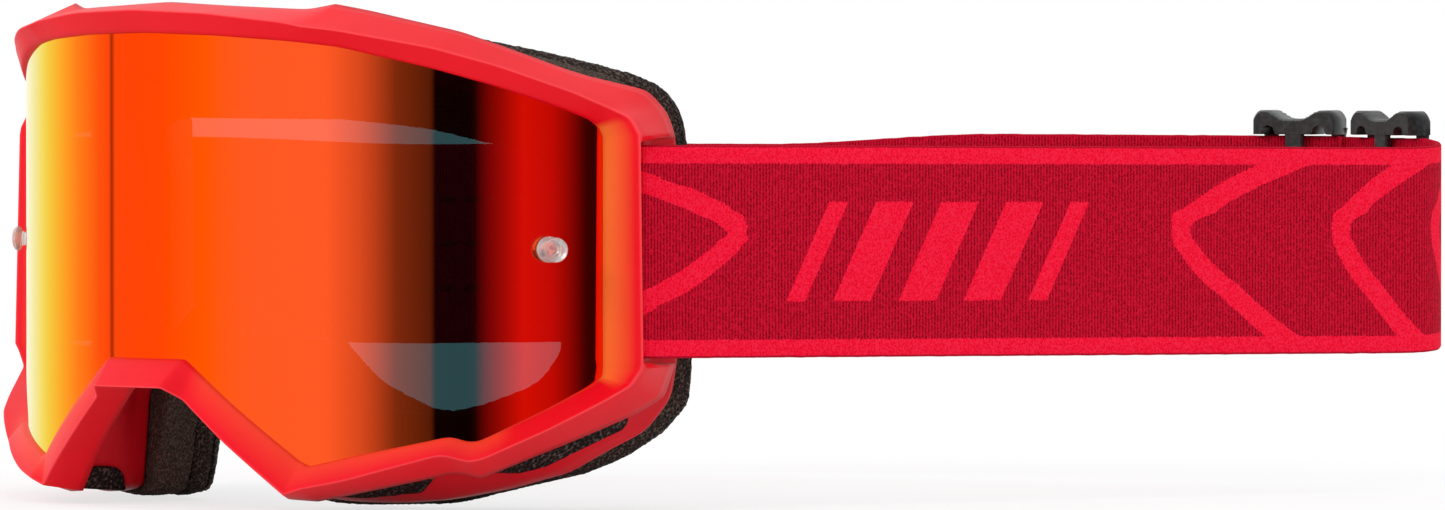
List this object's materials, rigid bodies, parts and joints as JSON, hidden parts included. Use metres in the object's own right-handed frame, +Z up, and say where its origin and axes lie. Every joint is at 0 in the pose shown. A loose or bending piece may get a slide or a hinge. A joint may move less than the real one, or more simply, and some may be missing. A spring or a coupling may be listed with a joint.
{
  "type": "motocross goggles",
  "caption": "Motocross goggles with a mirrored cylindrical lens, layered face foam and an elastic head strap with two slide adjusters.",
  "frame": {"origin": "middle of the face opening, level with the middle of the strap, 50 mm behind the foremost line of the lens", "axes": "+Z up, the wearer looks along -Y, +X towards the wearer's left"},
  "size_m": [0.24, 0.2692, 0.1065],
  "materials": {
    "frame_tpu": "satin",
    "lens_mirror": "mirrored orange",
    "post_clear": "clear",
    "foam_filter": "open-cell foam",
    "foam_face": "open-cell foam",
    "fleece": "brushed fleece",
    "webbing": "woven elastic",
    "silicone": "gloss",
    "clip": "moulded",
    "thread": "polyester thread",
    "slider": "moulded acetal"
  },
  "bodies": {
    "goggles": {"front_frame": "frame_tpu", "face_frame": "frame_tpu", "lens": "lens_mirror", "tear_off_post_left": "post_clear", "tear_off_post_right": "post_clear", "vent_filter_top": "foam_filter", "vent_filter_lower_left": "foam_filter", "vent_filter_lower_right": "foam_filter", "face_foam_base": "foam_face", "face_foam_mid": "foam_face", "face_fleece": "fleece", "strap_left": "webbing", "strap_right": "webbing", "silicone_grip_left": "silicone", "silicone_grip_right": "silicone", "strap_clip_left": "clip", "strap_clip_right": "clip", "strap_stitch_left": "thread", "strap_stitch_right": "thread"},
    "slider_sewn": {"slider_sewn": "slider"},
    "slider_main": {"slider_main": "slider"}
  },
  "joints": [
    {"name": "slider_main_slide", "type": "slide", "parent": "goggles", "child": "slider_main", "axis": [-0.9548, -0.2974, 0], "range_m": [0, 0.06]},
    {"name": "slider_sewn_tilt", "type": "hinge", "parent": "goggles", "child": "slider_sewn", "pos_m": [0.12694, 0.2082, 0], "axis": [0, 0, 1], "range_deg": [-3, 3]}
  ]
}
